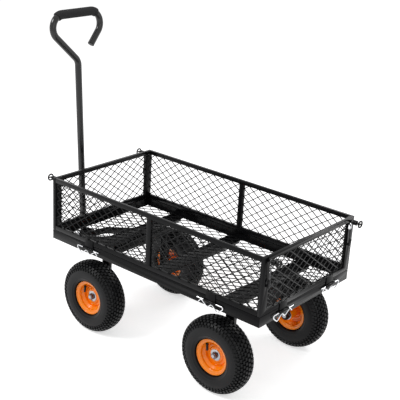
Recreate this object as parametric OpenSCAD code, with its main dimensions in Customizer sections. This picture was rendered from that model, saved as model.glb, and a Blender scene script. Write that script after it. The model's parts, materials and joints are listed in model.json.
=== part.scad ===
// Four-wheeled garden cart with a mesh deck, four drop-down mesh sides, a turntable
// steering axle and a tilting pull handle. Millimetres. +X is the tail, -X the pull
// handle, +Z up, and Z = 0 is the ground.

/* [Deck] */
// Length of the deck over its end walls
deck_l = 930; // [860:5:1100]
// Width of the deck over its side walls
deck_w = 500; // [480:5:580]
// Height of the deck's underside above the ground
deck_z = 306; // [302:1:340]
// Height of the deck's rolled walls
wall_h = 34; // [30:1:42]
// Thickness of the deck's sheet steel
sheet_t = 2.5; // [2:0.1:3]
// Width of the inward flange that carries the floor mesh
flange_w = 6; // [5:0.5:12]
// Width of the inward lip along the top of the walls
lip_w = 11; // [8:1:14]
// Width of the cross members under the floor
member_w = 62; // [50:1:76]
// Depth of the lips that stiffen the cross members
member_lip = 8; // [6:1:12]
// Distance of the middle cross member ahead of the deck's middle
member_lead = 14; // [0:1:40]

/* [Expanded mesh] */
// Long way of a diamond in the sides
diamond_l = 42.7; // [34:0.1:56]
// Short way of a diamond in the sides
diamond_h = 29.4; // [24:0.1:38]
// Long way of a diamond in the floor
floor_diamond_l = 50; // [34:0.5:60]
// Short way of a diamond in the floor
floor_diamond_h = 33; // [24:0.5:40]
// Width of a strand
strand_w = 2.6; // [2:0.1:3.6]
// Thickness of the expanded sheet
mesh_t = 2; // [1.5:0.1:2.6]

/* [Sides] */
// Height of the drop-down sides
side_h = 195.5; // [150:0.5:230]
// Depth of the rails, through the side
rail_d = 10; // [8:0.5:12]
// Height of the top and bottom rails
rail_h = 15; // [12:0.5:20]
// Width of the flat posts of the end sides
post_w = 30; // [26:1:40]
// Width of the upright in the middle of the long sides
upright_w = 20; // [14:1:28]
// Thickness of the keeper plates at the ends of the long sides
keeper_t = 3; // [2.5:0.5:4]
// Width of the keeper plates
keeper_w = 30; // [28:1:36]
// Gap under a closed side
side_gap = 1.6; // [1.5:0.1:2.5]
// Gap between neighbouring sides
corner_gap = 0.5; // [0.4:0.1:1]

/* [Hinges and spring clips] */
// Distance of the hinges on the long sides from the middle
hinge_x = 275; // [200:5:330]
// Distance of the hinges on the end sides from the middle
hinge_y = 132; // [90:2:150]
// Distance of a hinge line outside the wall
hinge_out = 6; // [6:0.1:7]
// Height of a hinge line above the deck's underside
hinge_up = 20; // [18:0.5:20.5]
// Diameter of the spring clip's wire
wire_d = 4; // [3.4:0.1:4.4]
// Outer radius of the hinge knuckles
knuckle_r = 5.2; // [4.6:0.1:5.4]
// Width of a hinge strap
strap_w = 38; // [30:1:40]
// Thickness of a hinge strap
strap_t = 3; // [2.5:0.1:3.2]
// Thickness of the hinge lugs on the deck
lug_t = 4; // [3:0.5:4.5]
// Distance of a spring clip's ends from the middle of its hinge
clip_half = 52; // [48:1:56]
// Drop of a spring clip's wavy leg under its straight one
clip_drop = 22; // [20:0.5:24]

/* [Corner latches] */
// Distance of a latch pin from the long side's outer face
latch_in = 22; // [18:0.5:23]
// Distance of a latch pin below the top of the sides
latch_down = 13; // [11:0.5:18]
// Diameter of a latch pin
pin_d = 8; // [6:0.5:9]
// Length of the pin behind the end post
pin_reach = 13; // [12:0.5:16]
// Bare length of the pin outside the end post
pin_neck = 11; // [10:0.5:14]
// Diameter of the pin's barrel
barrel_d = 17; // [13:0.5:18]
// Length of the pin's barrel
barrel_l = 14; // [10:1:20]
// Diameter of the pull ring over its wire
ring_d = 27; // [22:1:30]
// Diameter of the pull ring's wire
ring_wire = 5.4; // [4:0.1:6]
// Diameter of the lanyard's cord
cord_d = 3; // [2.4:0.1:4]
// Length of the lanyard down to its crimp
cord_l = 62; // [40:1:80]
// Diameter of the crimp
crimp_d = 9; // [7:0.5:10]
// Length of the crimp
crimp_l = 27; // [20:1:32]
// Diameter of the round-head bolts on the end posts
dome_d = 22; // [16:1:22]

/* [Wheels] */
// Outer diameter of the tyres
tyre_d = 260; // [240:1:264]
// Width of the tyres
tyre_w = 84; // [74:1:88]
// Width of the grooves between the rows of the tread
groove_w = 2.4; // [1.8:0.1:3]
// Depth of the tread
groove_t = 2; // [1.2:0.1:3]
// Diameter of the rim's bead seat
seat_d = 101.6; // [98:0.2:106]
// Height of the rim's flanges above the bead seat
flange_h = 11; // [9:0.5:13]
// Width of the rim over its flanges
rim_w = 60; // [54:1:64]
// Thickness of the rim's steel
rim_t = 2.4; // [2:0.1:3]
// Distance of the wheels' middle plane from the cart's middle plane
track_half = 217; // [214:1:225]
// Distance of the front axle from the deck's middle
front_axle_x = 281; // [260:1:300]
// Distance of the rear axle from the deck's middle
rear_axle_x = 290; // [260:1:310]
// Diameter of the stub axles
axle_d = 16; // [14:0.5:18]
// Outer diameter of the wheel bearings
bearing_d = 35; // [32:0.5:38]
// Width of a wheel bearing
bearing_w = 11; // [9:0.5:13]
// Distance of the hub's outer end outside the wheel's middle plane
hub_out = 8; // [2:0.5:12]
// Distance of the hub's inner end inside the wheel's middle plane
hub_in = 44; // [40:0.5:46]
// Angle of the valve around the wheel, from the top towards the tail
valve_turn = -48; // [-90:1:90]

/* [Axle frames and steering] */
// Width of the axle legs along the cart
leg_w = 34; // [30:1:38]
// Depth of the axle legs across the cart
leg_d = 16; // [14:1:20]
// Thickness of the axle frames' steel
leg_t = 4; // [3:0.5:5]
// Height of the axle beams
beam_h = 24; // [20:1:26]
// Diameter of the steering turntable
table_d = 120; // [100:2:130]
// Thickness of the turntable plates
table_t = 3; // [2.5:0.5:5]
// Diameter of the kingpin
kingpin_d = 16; // [12:1:20]
// Distance of the kingpin ahead of the front axle
kingpin_lead = 19; // [0:1:30]

/* [Pull handle] */
// Distance of the handle's pivot ahead of the deck
pivot_out = 105; // [100:1:120]
// Height of the handle's pivot
pivot_z = 226; // [215:1:240]
// Diameter of the handle's tube
tube_d = 25; // [22:0.5:28]
// Wall of the handle's tube
tube_t = 1.8; // [1.4:0.1:2.5]
// Forward lean of the handle at rest, in degrees
lean = 3.4; // [2:0.1:6]
// Height of the grip's middle above the pivot, along the handle
grip_up = 845; // [700:5:900]
// Length of the straight top of the handle
grip_l = 138; // [120:2:160]
// Bend radius of the handle's loop
loop_r = 46; // [42:1:52]
// Angle of the handle's slanted neck from upright, in degrees
neck_a = 47; // [40:1:55]
// Length of the hook's free end
hook_l = 58; // [40:1:70]
// Diameter of the foam grip
foam_d = 33; // [30:0.5:38]
// Diameter of the pivot bolt
bolt_d = 10; // [8:0.5:12]

/* [Hidden] */
$fn = 48;

// finishes
BLACK = [0.09, 0.09, 0.10];
GREY_MESH = [0.16, 0.16, 0.17];
ZINC = [0.75, 0.76, 0.78];
RUBBER = [0.11, 0.11, 0.12];
FOAM = [0.24, 0.24, 0.25];
ORANGE = [0.95, 0.42, 0.06];
CORD = [0.42, 0.42, 0.43];

// clearances
running_gap = 0.06;   // radial, between a pin or shaft and its bore
side_play = 0.5;      // beside a part that turns
part_gap = 0.4;       // between parts that only pass each other
bolt_hole_gap = 0.3;  // radial, round a clamped bolt

// heights
axle_z = tyre_d / 2;
deck_top = deck_z + wall_h;
side_z = deck_top + side_gap;
side_top = side_z + side_h;
floor_z = deck_z + sheet_t;
hinge_z = deck_z + hinge_up;
latch_z = side_top - latch_down;
table_top = deck_z - member_lip;
washer_t = 1.5;
swivel_top = table_top - table_t - washer_t;  // top of the plate that swivels
beam_top = swivel_top - table_t;              // top of the front axle's beam

// places along and across the cart, from the deck's middle
kingpin_x = -front_axle_x - kingpin_lead;
pivot_x = -deck_l / 2 - pivot_out;
side_in = deck_l / 2 - rail_d;       // inner face of the end sides
long_end = side_in - corner_gap;     // ends of the long sides
latch_y = deck_w / 2 - latch_in;
leg_out = track_half - hub_in - 9;   // outer face of the axle legs
ring_out = pin_neck + barrel_l + 12; // middle of the pull ring, from the end post

// reach of the cart to the front and to the rear; the origin lies midway
grip_reach = -pivot_x + grip_up * sin(lean) + foam_d / 2 * cos(lean);
x_shift = (grip_reach - deck_l / 2 - ring_out - ring_wire / 2) / 2;

module at_cart() translate([x_shift, 0, 0]) children();

// ---- general shapes ----

// box given by its corners
module block(lo, hi) translate(lo) cube(hi - lo);

// cylinder along Y between y0 and y1
module rod_y(d, y0, y1, x = 0, z = 0) translate([x, y1, z]) rotate([90, 0, 0])
  cylinder(d = d, h = y1 - y0);

// cylinder along X between x0 and x1
module rod_x(d, x0, x1, y = 0, z = 0) translate([x0, y, z]) rotate([0, 90, 0])
  cylinder(d = d, h = x1 - x0);

// hexagonal prism along Y
module hex_y(flats, y0, y1, x = 0, z = 0) translate([x, y1, z]) rotate([90, 0, 0])
  cylinder(d = flats / cos(30), h = y1 - y0, $fn = 6);

// rounds the corners of a polyline by cutting them n times
function cut_corners(p, n) = n == 0 ? p : cut_corners(concat([p[0]],
  [for (i = [0 : len(p) - 2]) each [p[i] * 0.75 + p[i + 1] * 0.25, p[i] * 0.25 + p[i + 1] * 0.75]],
  [p[len(p) - 1]]), n - 1);

function unit(v) = v / norm(v);
function along(p, i) = unit(p[min(i + 1, len(p) - 1)] - p[max(i - 1, 0)]);

// ring of points round point i of a path in the XZ plane
function hoop(path, i, d, sides) = let (t = along(path, i))
  [for (k = [0 : sides - 1]) let (a = 360 * k / sides)
    [path[i][0] - t[1] * d / 2 * cos(a), d / 2 * sin(a), path[i][1] + t[0] * d / 2 * cos(a)]];

// faces of the skin between the hoops whose points start at a and b
function skin(a, b, sides) = [for (k = [0 : sides - 1]) let (m = (k + 1) % sides)
  each [[a + k, b + m, b + k], [a + k, a + m, b + m]]];

// round wire that follows a path in the XZ plane
module wire(path, d, sides = 8) {
  n = len(path);
  polyhedron([for (i = [0 : n - 1]) each hoop(path, i, d, sides)],
    concat([for (i = [0 : n - 2]) each skin(i * sides, (i + 1) * sides, sides)],
      [[for (k = [sides - 1 : -1 : 0]) k]], [[for (k = [0 : sides - 1]) (n - 1) * sides + k]]),
    convexity = 6);
}

// pipe that follows a path in the XZ plane, open at both ends
module pipe(path, d, hole, sides = 24) {
  n = len(path);
  last = (n - 1) * sides;
  bore = n * sides;
  polyhedron(concat([for (i = [0 : n - 1]) each hoop(path, i, d, sides)],
      [for (i = [0 : n - 1]) each hoop(path, i, hole, sides)]),
    concat([for (i = [0 : n - 2]) each skin(i * sides, (i + 1) * sides, sides)],
      [for (i = [0 : n - 2]) each skin(bore + (i + 1) * sides, bore + i * sides, sides)],
      skin(bore, 0, sides), skin(last, bore + last, sides)),
    convexity = 6);
}

// sheet of expanded mesh with a plain edge, w along X by h along Y, lying on Z = 0; the
// diamonds are stretched a little, so that a whole number of half diamonds fits each way
module mesh_sheet(w, h, dl, dh) {
  cols = round(2 * w / dl);
  rows = round(2 * h / dh);
  cell = [w / cols, h / rows];
  hole = cell - strand_w / 2 * norm(cell) * [1 / cell[1], 1 / cell[0]];
  edge = strand_w / 2;
  linear_extrude(mesh_t) {
    difference() {
      square([w, h], center = true);
      for (i = [0 : cols], j = [0 : rows]) if ((i + j) % 2 == 1)
        translate([i * cell[0] - w / 2, j * cell[1] - h / 2])
          polygon([[-hole[0], 0], [0, -hole[1]], [hole[0], 0], [0, hole[1]]]);
    }
    difference() {
      square([w, h], center = true);
      square([w - 2 * edge, h - 2 * edge], center = true);
    }
  }
}

// ---- deck ----

// rectangular ring of the deck's size
module deck_ring(z, h, w) difference() {
  block([-deck_l / 2, -deck_w / 2, z], [deck_l / 2, deck_w / 2, z + h]);
  block([-deck_l / 2 + w, -deck_w / 2 + w, z - 1], [deck_l / 2 - w, deck_w / 2 - w, z + h + 1]);
}

// places children at one pair of hinges, with X along the side and +Y pointing outwards
module hinge_pair(out, spread, turn) rotate([0, 0, turn]) {
  translate([spread, out, hinge_z]) children();
  translate([-spread, out, hinge_z]) mirror([1, 0, 0]) children();
}

module at_hinges(side) {
  if (side == "left" || side == "all") hinge_pair(deck_w / 2, hinge_x, 180) children();
  if (side == "right" || side == "all") hinge_pair(deck_w / 2, hinge_x, 0) children();
  if (side == "front" || side == "all") hinge_pair(deck_l / 2, hinge_y, 90) children();
  if (side == "rear" || side == "all") hinge_pair(deck_l / 2, hinge_y, -90) children();
}

strap_space = strap_w + 2 * side_play;

module hinge_lugs() for (s = [-1, 1])
  translate([s * (strap_space + lug_t) / 2, 0, 0]) difference() {
    union() {
      block([-lug_t / 2, -sheet_t / 2, -knuckle_r], [lug_t / 2, hinge_out, knuckle_r]);
      rod_x(2 * knuckle_r, -lug_t / 2, lug_t / 2, hinge_out);
    }
    rod_x(wire_d + 2 * running_gap, -lug_t, lug_t, hinge_out);
  }

module bed_frame() color(BLACK) at_cart() {
  deck_ring(deck_z, wall_h, sheet_t);
  deck_ring(deck_z, sheet_t, flange_w);
  deck_ring(deck_top - sheet_t, sheet_t, lip_w);
  at_hinges("all") hinge_lugs();
}

module floor_mesh() color(GREY_MESH) at_cart() translate([0, 0, floor_z])
  mesh_sheet(deck_l - 2 * sheet_t - 2 * part_gap, deck_w - 2 * sheet_t - 2 * part_gap,
    floor_diamond_l, floor_diamond_h);

// shallow channel under the floor, open downwards, welded between the flanges
module cross_member(x) {
  end = deck_w / 2 - flange_w;
  block([x - member_w / 2, -end, deck_z], [x + member_w / 2, end, floor_z]);
  for (s = [-1, 1]) translate([x + s * (member_w - sheet_t) / 2, 0, 0])
    block([-sheet_t / 2, -end + 14, table_top], [sheet_t / 2, end - 14, deck_z]);
}

module cross_members() color(BLACK) at_cart() for (x = [kingpin_x, -member_lead, rear_axle_x])
  cross_member(x);

// R-shaped clip: a straight leg that is the hinge's pin, and a wavy leg under it; the wave is
// given in shares of the clip's half length and of its drop
clip_wave = [[0.9, 0], [0.98, 0], [1.03, -0.2], [0.98, -0.5], [0.62, -1.2], [0.17, -0.25],
  [-0.15, -0.94], [-0.66, -0.06], [-0.86, -0.62]];

module spring_clip() translate([0, hinge_out, 0]) {
  rod_x(wire_d, -clip_half, 0.91 * clip_half);
  wire(cut_corners([for (p = clip_wave) [p[0] * clip_half, p[1] * clip_drop]], 2), 1.12 * wire_d);
}

module spring_clips() color(ZINC) at_cart() at_hinges("all") spring_clip();

// ---- axle frames ----

// bent channel with the axle at the foot of each leg; x is the axle's place along the cart
module axle_frame(x, top) translate([x, 0, 0]) {
  wing = leg_w / 2;
  block([-wing, -leg_out, top - leg_t], [wing, leg_out, top]);
  for (s = [-1, 1]) translate([s * (wing - leg_t / 2), 0, 0])
    block([-leg_t / 2, -leg_out, top - beam_h], [leg_t / 2, leg_out, top]);
  for (s = [-1, 1]) translate([0, s * (leg_out - leg_t / 2), 0]) {
    block([-wing, -leg_t / 2, axle_z], [wing, leg_t / 2, top]);
    rod_y(leg_w, -leg_t / 2, leg_t / 2, 0, axle_z);
  }
  for (s = [-1, 1], t = [-1, 1])
    translate([s * (wing - leg_t / 2), t * (leg_out - leg_d / 2), 0])
      block([-leg_t / 2, -leg_d / 2, axle_z], [leg_t / 2, leg_d / 2, top]);
}

// hole of the axle in both legs
module axle_holes(x) rod_y(axle_d, -leg_out - 1, leg_out + 1, x, axle_z);

// faces of the bearings, outwards from the cart's middle
bearing_lip = 2;
hub_face_in = track_half - hub_in - bearing_lip;
hub_face_out = track_half + hub_out + bearing_lip;
axle_thread = 12;
axle_nut_h = 10;
axle_nut_flats = 19;
axle_flange_d = 23;
axle_flange_t = 2.5;

module stub_axle(x, s) translate([x, 0, axle_z]) rotate([-90 * s, 0, 0]) {
  translate([0, 0, leg_out - leg_t - 5]) cylinder(d = axle_d, h = hub_face_out - leg_out + leg_t + 5.5);
  translate([0, 0, leg_out]) cylinder(d = axle_d + 8, h = hub_face_in - leg_out - side_play);
  translate([0, 0, hub_face_out]) cylinder(d = axle_thread, h = axle_nut_h + 3.5);
}

module axle_nut(x, s) translate([x, 0, axle_z]) rotate([-90 * s, 0, 0])
  translate([0, 0, hub_face_out + 0.5]) difference() {
    union() {
      cylinder(d = axle_flange_d, h = axle_flange_t);
      cylinder(d = axle_nut_flats / cos(30), h = axle_nut_h, $fn = 6);
    }
    translate([0, 0, -1]) cylinder(d = axle_thread, h = axle_nut_h + 2);
  }

module rear_axle_frame() color(BLACK) at_cart() difference() {
  axle_frame(rear_axle_x, deck_z);
  axle_holes(rear_axle_x);
}

module rear_axles() color(ZINC) at_cart() for (s = [-1, 1]) stub_axle(rear_axle_x, s);

module rear_axle_nuts() color(ZINC) at_cart() for (s = [-1, 1]) axle_nut(rear_axle_x, s);

module front_axle_frame() color(BLACK) at_cart() difference() {
  axle_frame(-front_axle_x, beam_top);
  axle_holes(-front_axle_x);
  translate([kingpin_x, 0, beam_top - beam_h - 1])
    cylinder(d = kingpin_nut_d + 4, h = beam_h + 2);
}

module front_axles() color(ZINC) at_cart() for (s = [-1, 1]) stub_axle(-front_axle_x, s);

module front_axle_nuts() color(ZINC) at_cart() for (s = [-1, 1]) axle_nut(-front_axle_x, s);

// ---- turntable ----

kingpin_nut_d = 30;
kingpin_nut_h = 12;
kingpin_washer_t = 2.5;

module ring(d, hole, h) difference() {
  cylinder(d = d, h = h);
  translate([0, 0, -1]) cylinder(d = hole, h = h + 2);
}

module turntable_plate() color(BLACK) at_cart() translate([kingpin_x, 0, table_top - table_t])
  ring(table_d, kingpin_d, table_t);

module thrust_washer() color(ZINC) at_cart() translate([kingpin_x, 0, swivel_top])
  ring(table_d - 16, kingpin_d, washer_t);

module kingpin() color(ZINC) at_cart() translate([kingpin_x, 0, 0]) {
  translate([0, 0, table_top]) cylinder(d = kingpin_d + 16, h = member_lip);
  translate([0, 0, beam_top - kingpin_washer_t - kingpin_nut_h - 3])
    cylinder(d = kingpin_d, h = table_top - beam_top + kingpin_washer_t + kingpin_nut_h + 3);
}

module kingpin_nut() color(ZINC) at_cart()
  translate([kingpin_x, 0, beam_top - kingpin_washer_t - kingpin_nut_h]) difference() {
    union() {
      cylinder(d = kingpin_nut_d / 1.25 / cos(30), h = kingpin_nut_h, $fn = 6);
      translate([0, 0, kingpin_nut_h]) cylinder(d = kingpin_nut_d, h = kingpin_washer_t);
    }
    translate([0, 0, -1]) cylinder(d = kingpin_d, h = kingpin_nut_h + kingpin_washer_t + 2);
  }

module steering_plate() color(BLACK) at_cart() translate([kingpin_x, 0, beam_top])
  ring(table_d, kingpin_d + 2 * running_gap, table_t);

// ---- tongue and handle ----

bar_h = 25;
bar_t = 5;
bar_y = 17.5;       // inner faces of the clevis ears
hoop_y = 66;        // outer faces of the tongue's hoop
hoop_r = 54;        // its front corners
hoop_out = 40;      // from the pivot back to its front face
nut_flats = 17;
nut_h = 8;

hoop_x = pivot_x + hoop_out;
hoop_top = table_top - 1;
beam_face = -front_axle_x - leg_w / 2;
bar_rise = atan2(hoop_top - pivot_z - bar_h / 2 - 2, beam_face - 1.4 * bar_h - hoop_x);

// hoop bent from flat bar, open to the rear, seen from above
module hoop_plan(t) difference() {
  hull() {
    for (s = [-1, 1]) translate([hoop_x + hoop_r, s * (hoop_y - hoop_r)]) circle(r = hoop_r - t);
    translate([beam_face - 1, t - hoop_y]) square([1, 2 * (hoop_y - t)]);
  }
  translate([beam_face, -hoop_y - 1]) square([hoop_r, 2 * hoop_y + 2]);
}

// outline of the hoop from the side, rising from the clevis to the front beam
module hoop_side() {
  low = beam_top - beam_h;
  half = bar_h / 2 / cos(bar_rise);
  slope = tan(bar_rise);
  front = [hoop_x, pivot_z + 1.5];
  polygon([front + [0, half], front + [(hoop_top - front[1] - half) / slope, hoop_top - front[1]],
    [beam_face, hoop_top], [beam_face, low], front + [(low - front[1] + half) / slope, low - front[1]],
    front - [0, half]]);
}

module tongue() color(BLACK) at_cart() difference() {
  union() {
    intersection() {
      translate([0, 0, pivot_z - bar_h]) linear_extrude(4 * bar_h) difference() {
        hoop_plan(0);
        hoop_plan(bar_t);
        translate([beam_face - 2, bar_t - hoop_y]) square([4, 2 * (hoop_y - bar_t)]);
      }
      translate([0, hoop_y + 1, 0]) rotate([90, 0, 0]) linear_extrude(2 * hoop_y + 2) hoop_side();
    }
    for (y = [-bar_y - bar_t, bar_y]) {
      rod_y(bar_h, y, y + bar_t, pivot_x, pivot_z);
      block([pivot_x, y, pivot_z - bar_h / 2], [hoop_x + bar_t - 1, y + bar_t, pivot_z + bar_h / 2]);
    }
  }
  rod_y(bolt_d + 2 * bolt_hole_gap, -bar_y - 2 * bar_t, bar_y + 2 * bar_t, pivot_x, pivot_z);
}

bolt_end = bar_y + bar_t;

module tongue_bolt() color(ZINC) at_cart() {
  rod_y(bolt_d, -bolt_end, bolt_end + nut_h + 2, pivot_x, pivot_z);
  hex_y(nut_flats, -bolt_end - 6, -bolt_end, pivot_x, pivot_z);
}

module tongue_nut() color(ZINC) at_cart() difference() {
  hex_y(nut_flats, bolt_end, bolt_end + nut_h, pivot_x, pivot_z);
  rod_y(bolt_d, bolt_end - 1, bolt_end + nut_h + 1, pivot_x, pivot_z);
}

neck_r = 40;
stem_foot = 14;
hook_a = 130;
foam_a = 32;
grip_half = grip_l / 2;
loop_up = grip_up - loop_r;
neck_z = loop_up - (loop_r + grip_half * cos(neck_a)) / sin(neck_a);
plug_d = tube_d - 2 * tube_t;

// points along an arc of n steps
function arc(c, r, from, to, n) = [for (i = [0 : n]) let (a = from + (to - from) * i / n)
  c + r * [cos(a), sin(a)]];

// handle's middle line, X across the cart and Y up from the pivot
left_turn = [-grip_half, loop_up];
right_turn = [grip_half, loop_up];
foam_path = concat(arc(left_turn, loop_r, 90 + foam_a, 90, 6),
  arc(right_turn, loop_r, 90, 90 - foam_a, 6));
hook_path = arc(right_turn, loop_r, 90 - foam_a, 90 - hook_a, 16);
hook_dir = [sin(90 - hook_a), -cos(90 - hook_a)];
hook_end = hook_path[16] + hook_l * hook_dir;
stem_path = concat([[0, -stem_foot]],
  arc([-neck_r, neck_z - neck_r * tan(neck_a / 2)], neck_r, 0, neck_a, 8),
  arc(left_turn, loop_r, 180 + neck_a, 90 + foam_a, 18));

// from the XZ plane at the pivot to the handle's place on the cart
module at_handle() at_cart() translate([pivot_x, 0, pivot_z]) rotate([0, -lean, 0])
  rotate([0, 0, 90]) children();

module handle_tube() color(BLACK) at_handle() {
  difference() {
    pipe(concat(stem_path, [for (i = [1 : len(foam_path) - 1]) foam_path[i]],
      [for (i = [1 : 16]) hook_path[i]], [hook_end]), tube_d, plug_d);
    rod_x(bolt_d + 4, -tube_d, tube_d);
  }
  difference() {
    rod_x(bolt_d + 8, side_play - bar_y, bar_y - side_play);
    rod_x(bolt_d + 2 * running_gap, -bar_y, bar_y);
  }
}

module handle_grip() color(FOAM) at_handle() pipe(foam_path, foam_d, tube_d);

module handle_plug() color(FOAM) at_handle() translate([hook_end[0], 0, hook_end[1]])
  rotate([0, 90 + hook_a, 0]) {
    cylinder(d = tube_d, h = 2.5);
    translate([0, 0, -12]) cylinder(d = plug_d - 1, h = 12);
  }

// ---- sides ----

module turned(front) rotate([0, 0, front ? 180 : 0]) children();

// strap with a knuckle round the spring clip's straight leg; its heel meets the wall when open
module hinge_strap() difference() {
  foot = side_z - hinge_z;
  union() {
    rod_x(2 * knuckle_r, -strap_w / 2, strap_w / 2, hinge_out);
    block([-strap_w / 2, part_gap, 0], [strap_w / 2, part_gap + strap_t, foot + rail_h]);
    block([-strap_w / 2, 0, foot], [strap_w / 2, part_gap + strap_t, foot + rail_h]);
    block([-strap_w / 2, hinge_out, 0.1 - hinge_out], [strap_w / 2, hinge_out + 3, 0]);
  }
  rod_x(wire_d + 2 * running_gap, -strap_w, strap_w, hinge_out);
}

// upright box in the plane of a side; the outer face is out from the cart's middle
module bar_along_x(x0, x1, z0, z1, out) block([x0, out - rail_d, z0], [x1, out, z1]);

rail_end = long_end - keeper_t;

// long side on the right-hand side of the cart
module long_side() {
  out = deck_w / 2;
  for (z = [side_z, side_top - rail_h]) bar_along_x(-rail_end, rail_end, z, z + rail_h, out);
  bar_along_x(-upright_w / 2, upright_w / 2, side_z, side_top, out);
}

// end plates of the right-hand side, with open slots that drop over the latch pins
module keepers() for (s = [-1, 1])
  translate([s * (long_end - keeper_t / 2), deck_w / 2, 0]) difference() {
    block([-keeper_t / 2, -keeper_w, side_z], [keeper_t / 2, 0, side_top]);
    block([-keeper_t, -2 * keeper_w, latch_z - pin_d / 2 - 3],
      [keeper_t, pin_d / 2 + 0.5 - latch_in, latch_z + pin_d / 2 + 3]);
  }

module left_side_frame() color(BLACK) at_cart() {
  turned(true) long_side();
  at_hinges("left") hinge_strap();
}

module right_side_frame() color(BLACK) at_cart() {
  long_side();
  at_hinges("right") hinge_strap();
}

module left_keepers() color(BLACK) at_cart() turned(true) keepers();
module right_keepers() color(BLACK) at_cart() keepers();

window_z0 = side_z + rail_h;
window_z1 = side_top - rail_h;

// mesh in the windows of the long side on the right-hand side of the cart
module long_mesh() {
  x0 = upright_w / 2;
  for (s = [-1, 1])
    translate([s * (x0 + rail_end) / 2, deck_w / 2 - rail_d / 2 + mesh_t / 2, (window_z0 + window_z1) / 2])
      rotate([90, 0, 0]) mesh_sheet(rail_end - x0, window_z1 - window_z0, diamond_l, diamond_h);
}

module left_side_mesh() color(GREY_MESH) at_cart() turned(true) long_mesh();
module right_side_mesh() color(GREY_MESH) at_cart() long_mesh();

rivet_d = 5;
dome_drop = 18.5;
loop_x = pin_neck - 2.8;   // lanyard's plane, out from the end post
rivet_drop = cord_l + crimp_l - 6;

// end side at the rear of the cart
module end_side() difference() {
  w = deck_w / 2;
  union() {
    for (z = [side_z, side_top - rail_h])
      block([side_in, -w, z], [deck_l / 2, w, z + rail_h]);
    for (y = [-w, w - post_w]) block([side_in, y, side_z], [deck_l / 2, y + post_w, side_top]);
  }
  for (s = [-1, 1]) {
    rod_x(pin_d + 2 * running_gap, side_in - 1, deck_l / 2 + 1, s * latch_y, latch_z);
    rod_x(rivet_d, side_in - 1, deck_l / 2 + 1, s * latch_y, latch_z - rivet_drop);
  }
  rod_x(dome_shank, side_in - 1, deck_l / 2 + 1, latch_y, latch_z - dome_drop);
}

module front_side_frame() color(BLACK) at_cart() {
  turned(true) end_side();
  at_hinges("front") hinge_strap();
}

module rear_side_frame() color(BLACK) at_cart() {
  end_side();
  at_hinges("rear") hinge_strap();
}

module end_mesh() translate([side_in + rail_d / 2 - mesh_t / 2, 0, (window_z0 + window_z1) / 2])
  rotate([90, 0, 90]) mesh_sheet(deck_w - 2 * post_w, window_z1 - window_z0, diamond_l, diamond_h);

module front_side_mesh() color(GREY_MESH) at_cart() turned(true) end_mesh();
module rear_side_mesh() color(GREY_MESH) at_cart() end_mesh();

// ---- corner latches ----

dome_shank = 8;
dome_h = 6;

// round-head bolt on the end post of the rear side
module dome_bolt() translate([deck_l / 2, latch_y, latch_z - dome_drop]) {
  ball_r = (dome_d * dome_d / 4 + dome_h * dome_h) / 2 / dome_h;
  rotate([0, 90, 0]) rotate_extrude() intersection() {
    translate([0, dome_h - ball_r]) circle(r = ball_r);
    square([dome_d, dome_h + 1]);
  }
  rod_x(dome_shank, -rail_d, 1);
}

module front_dome_bolt() color(ZINC) at_cart() turned(true) dome_bolt();
module rear_dome_bolt() color(ZINC) at_cart() dome_bolt();

// places children at a latch, with +X outwards from the end post's face
module at_latch(sx, sy) at_cart() turned(sx < 0)
  translate([deck_l / 2, sx * sy * latch_y, latch_z]) children();

module latch_pin(sx, sy) color(BLACK) at_latch(sx, sy) {
  rod_x(pin_d, -rail_d - pin_reach, pin_neck + 1);
  rod_x(barrel_d, pin_neck, pin_neck + barrel_l);
  rod_x(6, pin_neck + barrel_l - 1, ring_out);
  translate([ring_out, 0, 0]) rotate([0, 90, 0]) rotate_extrude()
    translate([(ring_d - ring_wire) / 2, 0]) circle(d = ring_wire);
  rod_y(ring_wire - 1, ring_wire - ring_d / 2, ring_d / 2 - ring_wire, ring_out);
}

module latch_pin_fl() latch_pin(-1, -1);
module latch_pin_fr() latch_pin(-1, 1);
module latch_pin_rl() latch_pin(1, -1);
module latch_pin_rr() latch_pin(1, 1);

// coated cord looped round the pin, hanging to a crimp that is riveted to the post
module lanyard(sx, sy) color(CORD) at_latch(sx, sy) {
  eye_r = pin_d / 2 + part_gap + cord_d / 2;
  slant = 7;
  translate([loop_x, 0, 0]) {
    rotate([0, 90, 0]) rotate_extrude() translate([eye_r, 0]) circle(d = cord_d);
    translate([0, 0, -cord_l]) cylinder(d = cord_d, h = cord_l - eye_r);
    translate([0, 0, 2 - cord_l]) rotate([0, slant, 0]) translate([0, 0, -crimp_l])
      cylinder(d = crimp_d, h = crimp_l);
  }
  rod_x(rivet_d, -rail_d, loop_x - 2, 0, -rivet_drop);
  rod_x(rivet_d + 4, 0, 2, 0, -rivet_drop);
}

module lanyard_fl() lanyard(-1, -1);
module lanyard_fr() lanyard(-1, 1);
module lanyard_rl() lanyard(1, -1);
module lanyard_rr() lanyard(1, 1);

// ---- wheels ----

// places children at a wheel, with +Z outwards along the axle and +Y up or down
module at_wheel(sx, sy) at_cart()
  translate([sx < 0 ? -front_axle_x : rear_axle_x, sy * track_half, axle_z])
    rotate([-90 * sy, 0, 0]) children();

// band of thickness t along a polyline of points, with mitred corners
function turn_left(v) = [-v[1], v[0]];
function mitre(p, i) = let (a = turn_left(unit(p[max(i, 1)] - p[max(i, 1) - 1])),
  b = turn_left(unit(p[min(i, len(p) - 2) + 1] - p[min(i, len(p) - 2)]))) (a + b) / (1 + a * b);
function band(p, t) = concat([for (i = [0 : len(p) - 1]) p[i] + mitre(p, i) * t / 2],
  [for (i = [len(p) - 1 : -1 : 0]) p[i] - mitre(p, i) * t / 2]);

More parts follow.
